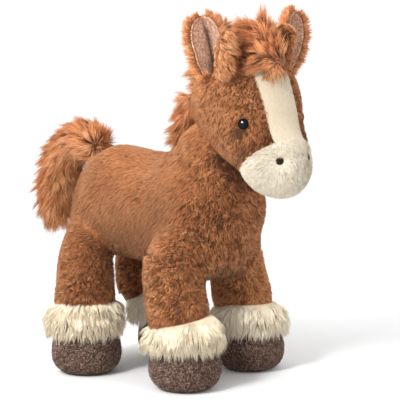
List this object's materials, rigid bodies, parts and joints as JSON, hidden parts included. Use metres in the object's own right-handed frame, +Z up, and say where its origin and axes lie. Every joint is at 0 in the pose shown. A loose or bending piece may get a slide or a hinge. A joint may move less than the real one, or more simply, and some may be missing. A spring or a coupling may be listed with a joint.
{
  "type": "plush horse",
  "caption": "Standing soft-toy horse in short chestnut plush with cream blaze, muzzle and fetlocks, upright ears, long mane and tail and rounded looped-pile hooves.",
  "frame": {"origin": "middle of the footprint of the toy's outer box, on the floor under the hooves", "axes": "+Z up, the horse faces -Y, +X is the horse's left side"},
  "size_m": [0.153, 0.2728, 0.2902],
  "materials": {
    "chestnut_plush": "short curly plush",
    "long_chestnut_pile": "long soft pile with paler tips",
    "cream_plush": "short smooth plush",
    "long_cream_pile": "long straight pile",
    "hoof_boucle": "looped pile, grey-brown with paler flecks",
    "ear_velour": "mottled velour",
    "fibre_filling": "loose polyester fibre",
    "bean_pellets": "small pellets",
    "glossy_black": "polished",
    "brown_button": "satin",
    "washer_plastic": "moulded"
  },
  "bodies": {
    "trunk": {"trunk_panel_left": "chestnut_plush", "trunk_panel_right": "chestnut_plush", "belly_panel": "chestnut_plush", "trunk_filling": "fibre_filling"},
    "neck": {"neck_cover": "chestnut_plush", "neck_filling": "fibre_filling", "mane_neck": "long_chestnut_pile"},
    "head": {"cheek_panel_left": "chestnut_plush", "cheek_panel_right": "chestnut_plush", "blaze_panel": "cream_plush", "muzzle_cover": "cream_plush", "head_filling": "fibre_filling", "eye_left": "glossy_black", "eye_right": "glossy_black", "eye_washer_left": "washer_plastic", "eye_washer_right": "washer_plastic", "nostril_left": "brown_button", "nostril_right": "brown_button", "mane_poll": "long_chestnut_pile", "forelock": "long_chestnut_pile"},
    "left_ear": {"ear_left": "chestnut_plush", "ear_lining_left": "ear_velour"},
    "right_ear": {"ear_right": "chestnut_plush", "ear_lining_right": "ear_velour"},
    "tail": {"tail_cover": "long_chestnut_pile", "tail_filling": "fibre_filling"},
    "fore_right_leg": {"leg_cover_fore_right": "chestnut_plush", "leg_filling_fore_right": "fibre_filling", "hoof_fore_right": "hoof_boucle", "hoof_pellets_fore_right": "bean_pellets", "fetlock_fore_right": "long_cream_pile"},
    "fore_left_leg": {"leg_cover_fore_left": "chestnut_plush", "leg_filling_fore_left": "fibre_filling", "hoof_fore_left": "hoof_boucle", "hoof_pellets_fore_left": "bean_pellets", "fetlock_fore_left": "long_cream_pile"},
    "hind_right_leg": {"leg_cover_hind_right": "chestnut_plush", "leg_filling_hind_right": "fibre_filling", "hoof_hind_right": "hoof_boucle", "hoof_pellets_hind_right": "bean_pellets", "fetlock_hind_right": "long_cream_pile"},
    "hind_left_leg": {"leg_cover_hind_left": "chestnut_plush", "leg_filling_hind_left": "fibre_filling", "hoof_hind_left": "hoof_boucle", "hoof_pellets_hind_left": "bean_pellets", "fetlock_hind_left": "long_cream_pile"}
  },
  "joints": [
    {"name": "neck_bow", "type": "hinge", "parent": "trunk", "child": "neck", "pos_m": [0, -0.0355, 0.146], "axis": [1, 0, 0], "range_deg": [-8, 3], "stiffness_Nm_per_rad": 3},
    {"name": "head_turn", "type": "hinge", "parent": "neck", "child": "head", "pos_m": [0, -0.0545, 0.2], "axis": [0, 0, 1], "range_deg": [-20, 35], "stiffness_Nm_per_rad": 0.6},
    {"name": "left_ear_flick", "type": "hinge", "parent": "head", "child": "left_ear", "pos_m": [0.0267, -0.08961, 0.24549], "axis": [-0.9407, 0.1438, 0.3073], "range_deg": [-15, 15], "stiffness_Nm_per_rad": 0.05},
    {"name": "right_ear_flick", "type": "hinge", "parent": "head", "child": "right_ear", "pos_m": [-0.04364, -0.07076, 0.2404], "axis": [-0.7747, 0.5617, -0.2904], "range_deg": [-15, 15], "stiffness_Nm_per_rad": 0.05},
    {"name": "tail_swing", "type": "hinge", "parent": "trunk", "child": "tail", "pos_m": [0, 0.0725, 0.175], "axis": [1, 0, 0], "range_deg": [-15, 15], "stiffness_Nm_per_rad": 0.3},
    {"name": "fore_right_leg_swing", "type": "hinge", "parent": "trunk", "child": "fore_right_leg", "pos_m": [-0.044, -0.0315, 0.098], "axis": [1, 0, 0], "range_deg": [-12, 12], "stiffness_Nm_per_rad": 1.2},
    {"name": "fore_left_leg_swing", "type": "hinge", "parent": "trunk", "child": "fore_left_leg", "pos_m": [0.044, -0.0315, 0.098], "axis": [1, 0, 0], "range_deg": [-12, 12], "stiffness_Nm_per_rad": 1.2},
    {"name": "hind_right_leg_swing", "type": "hinge", "parent": "trunk", "child": "hind_right_leg", "pos_m": [-0.044, 0.0545, 0.098], "axis": [1, 0, 0], "range_deg": [-12, 12], "stiffness_Nm_per_rad": 1.2},
    {"name": "hind_left_leg_swing", "type": "hinge", "parent": "trunk", "child": "hind_left_leg", "pos_m": [0.044, 0.0545, 0.098], "axis": [1, 0, 0], "range_deg": [-12, 12], "stiffness_Nm_per_rad": 1.2}
  ]
}
